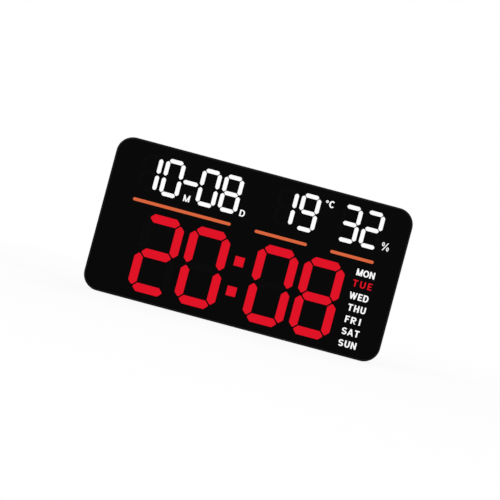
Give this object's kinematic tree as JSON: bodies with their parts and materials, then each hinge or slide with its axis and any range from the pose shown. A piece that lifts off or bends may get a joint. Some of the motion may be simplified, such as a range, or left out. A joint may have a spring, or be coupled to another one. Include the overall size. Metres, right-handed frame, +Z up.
{
  "type": "digital wall and desk clock",
  "caption": "Slim digital wall and desk clock with a lit seven-segment display of time, date, temperature and humidity, folding feet, rear buttons and keyholes.",
  "frame": {"origin": "on the table plane under the middle of the case, which is the bottom centre of the bounding box with the feet folded", "axes": "+X to the right seen from the front, +Y from the front to the back, +Z up"},
  "size_m": [0.24, 0.026, 0.124],
  "materials": {
    "frame_plastic": "satin black",
    "panel_plastic": "smooth black",
    "tape": "double-sided foam tape",
    "red_light": "lit red diffuser",
    "white_light": "lit white diffuser",
    "orange_light": "lit orange diffuser",
    "dark_window": "unlit smoked diffuser",
    "diffuser": "white moulded plastic",
    "board": "green solder mask on glass-fibre board",
    "lamp": "resin-filled lamp",
    "steel": "plated steel",
    "chip": "moulded black",
    "capacitor": "sleeved can",
    "cover_plastic": "fine-textured black",
    "contact": "plated spring strip",
    "button_plastic": "satin dark grey",
    "pad_rubber": "soft black rubber"
  },
  "bodies": {
    "case": {"front_frame": "frame_plastic", "front_panel": "panel_plastic", "panel_tape": "tape", "hour_tens_segments": "red_light", "hour_units_segments": "red_light", "minute_tens_segments": "red_light", "minute_units_segments": "red_light", "colon_dots": "red_light", "month_segments": "white_light", "date_dash": "white_light", "day_segments": "white_light", "temperature_segments": "white_light", "humidity_segments": "white_light", "underline_bars": "orange_light", "unlit_segments": "dark_window", "legend_diffusers": "diffuser", "light_box": "diffuser", "led_board": "board", "segment_leds": "lamp", "board_screws": "steel", "control_chip": "chip", "driver_chips": "chip", "clock_crystal": "steel", "supply_capacitor": "capacitor", "climate_sensor": "diffuser", "buzzer": "chip", "power_socket": "steel", "switch_housings": "chip", "rear_cover": "cover_plastic", "cover_screws": "steel", "coin_cell": "steel", "cell_contact_plus": "contact", "cell_contact_minus": "contact", "left_foot_pin": "steel", "right_foot_pin": "steel"},
    "set_key": {"set_button": "button_plastic", "set_plunger": "button_plastic"},
    "up_key": {"up_button": "button_plastic", "up_plunger": "button_plastic"},
    "down_key": {"down_button": "button_plastic", "down_plunger": "button_plastic"},
    "alarm_key": {"alarm_button": "button_plastic", "alarm_plunger": "button_plastic"},
    "left_leg": {"left_foot": "cover_plastic", "left_foot_pad": "pad_rubber"},
    "right_leg": {"right_foot": "cover_plastic", "right_foot_pad": "pad_rubber"},
    "cell_door": {"battery_door": "cover_plastic", "battery_door_screw": "steel"}
  },
  "joints": [
    {"name": "set_press", "type": "slide", "parent": "case", "child": "set_key", "axis": [0, -1, 0], "range_m": [0, 0.0005], "stiffness_N_per_m": 1500},
    {"name": "up_press", "type": "slide", "parent": "case", "child": "up_key", "axis": [0, -1, 0], "range_m": [0, 0.0005], "stiffness_N_per_m": 1500},
    {"name": "down_press", "type": "slide", "parent": "case", "child": "down_key", "axis": [0, -1, 0], "range_m": [0, 0.0005], "stiffness_N_per_m": 1500},
    {"name": "alarm_press", "type": "slide", "parent": "case", "child": "alarm_key", "axis": [0, -1, 0], "range_m": [0, 0.0005], "stiffness_N_per_m": 1500},
    {"name": "left_foot_fold", "type": "hinge", "parent": "case", "child": "left_leg", "pos_m": [-0.082, 0.00985, 0.0064], "axis": [-1, 0, 0], "range_deg": [0, 94.55]},
    {"name": "right_foot_fold", "type": "hinge", "parent": "case", "child": "right_leg", "pos_m": [0.082, 0.00985, 0.0064], "axis": [-1, 0, 0], "range_deg": [0, 94.55]},
    {"name": "battery_door_lift", "type": "slide", "parent": "case", "child": "cell_door", "axis": [0, 1, 0], "range_m": [0, 0.02]}
  ]
}
